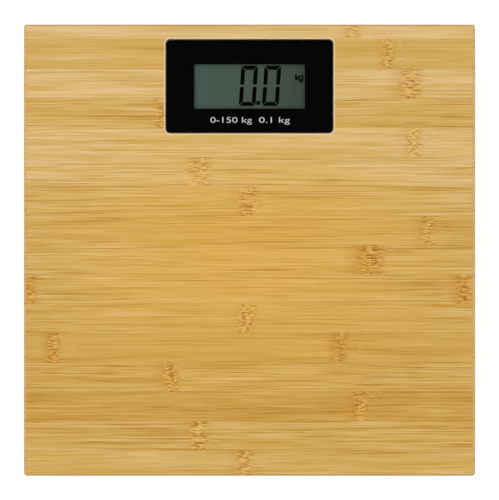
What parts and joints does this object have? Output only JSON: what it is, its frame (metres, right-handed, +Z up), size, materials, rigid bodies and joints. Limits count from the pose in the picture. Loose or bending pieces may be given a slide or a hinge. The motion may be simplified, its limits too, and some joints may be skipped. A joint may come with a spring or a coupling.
{
  "type": "digital bathroom scale",
  "caption": "Digital bathroom scale: square bamboo platform on load-cell feet, flush black display panel, hinged coin-cell lid and unit button underneath.",
  "frame": {"origin": "On the floor, under the middle of the platform: the bottom centre of the bounding box.", "axes": "+X to the user's right, +Y towards the display end, +Z up."},
  "size_m": [0.3, 0.3, 0.024],
  "materials": {
    "bamboo": "satin lacquer over laminated strips",
    "clear_acrylic": "clear, polished",
    "black_print": "gloss black behind the lens",
    "foam_tape": "matte foam",
    "black_abs": "fine spark texture",
    "display_film": "matte grey-green film",
    "display_glass": "clear",
    "display_black": "lit segment",
    "zebra_rubber": "striped conductive rubber",
    "circuit_green": "solder mask",
    "black_resin": "semi-gloss",
    "chip_ceramic": "matte",
    "switch_plastic": "matte",
    "button_grey": "satin",
    "nickel": "nickel plate",
    "lead_red": "satin insulation",
    "lead_white": "satin insulation",
    "lead_black": "satin insulation",
    "solder": "bright",
    "paper_tape": "crepe paper tape",
    "zinc_steel": "zinc plate",
    "cell_steel": "satin nickel",
    "white_silicone": "soft satin",
    "grey_rubber": "matte"
  },
  "bodies": {
    "platform": {"bamboo_board": "bamboo", "display_lens": "clear_acrylic", "lens_print": "black_print", "lens_tape": "foam_tape", "display_frame": "black_abs", "lcd_polariser": "display_film", "lcd_front_glass": "display_glass", "lcd_rear_glass": "display_glass", "lcd_reflector": "display_film", "lcd_segments": "display_black", "zebra_strips": "zebra_rubber", "circuit_board": "circuit_green", "controller_blob": "black_resin", "board_components": "chip_ceramic", "switch_body": "switch_plastic", "rear_cover": "black_abs", "coin_cell": "nickel", "positive_contact": "nickel", "negative_contact": "nickel", "red_leads": "lead_red", "white_leads": "lead_white", "black_leads": "lead_black", "solder_joints": "solder", "groove_tapes": "paper_tape", "frame_screws": "zinc_steel", "holder_screws": "zinc_steel", "cover_screws": "zinc_steel", "circuit_board_screws": "zinc_steel", "cell_holder_front_left": "black_abs", "load_cell_front_left": "cell_steel", "gauge_coat_front_left": "white_silicone", "cell_holder_front_right": "black_abs", "load_cell_front_right": "cell_steel", "gauge_coat_front_right": "white_silicone", "cell_holder_rear_left": "black_abs", "load_cell_rear_left": "cell_steel", "gauge_coat_rear_left": "white_silicone", "cell_holder_rear_right": "black_abs", "load_cell_rear_right": "cell_steel", "gauge_coat_rear_right": "white_silicone"},
    "battery_lid": {"battery_lid": "black_abs"},
    "unit_button": {"unit_button": "button_grey", "switch_plunger": "switch_plastic"},
    "foot_front_left": {"foot_front_left": "black_abs", "foot_pad_front_left": "grey_rubber"},
    "foot_front_right": {"foot_front_right": "black_abs", "foot_pad_front_right": "grey_rubber"},
    "foot_rear_left": {"foot_rear_left": "black_abs", "foot_pad_rear_left": "grey_rubber"},
    "foot_rear_right": {"foot_rear_right": "black_abs", "foot_pad_rear_right": "grey_rubber"}
  },
  "joints": [
    {"name": "foot_front_left_press", "type": "slide", "parent": "platform", "child": "foot_front_left", "axis": [0, 0, 1], "range_m": [0, 0.0006], "stiffness_N_per_m": 2000, "springref_m": -0.0013, "deforming": ["load_cell_front_left"]},
    {"name": "foot_front_right_press", "type": "slide", "parent": "platform", "child": "foot_front_right", "axis": [0, 0, 1], "range_m": [0, 0.0006], "stiffness_N_per_m": 2000, "springref_m": -0.0013, "deforming": ["load_cell_front_right"]},
    {"name": "foot_rear_left_press", "type": "slide", "parent": "platform", "child": "foot_rear_left", "axis": [0, 0, 1], "range_m": [0, 0.0006], "stiffness_N_per_m": 2000, "springref_m": -0.0013, "deforming": ["load_cell_rear_left"]},
    {"name": "foot_rear_right_press", "type": "slide", "parent": "platform", "child": "foot_rear_right", "axis": [0, 0, 1], "range_m": [0, 0.0006], "stiffness_N_per_m": 2000, "springref_m": -0.0013, "deforming": ["load_cell_rear_right"]},
    {"name": "battery_lid_hinge", "type": "hinge", "parent": "platform", "child": "battery_lid", "pos_m": [-0.016, 0.1229, 0.0076], "axis": [1, 0, 0], "range_deg": [0, 90]},
    {"name": "unit_button_press", "type": "slide", "parent": "platform", "child": "unit_button", "axis": [0, 0, 1], "range_m": [0, 0.00025], "stiffness_N_per_m": 5000}
  ]
}
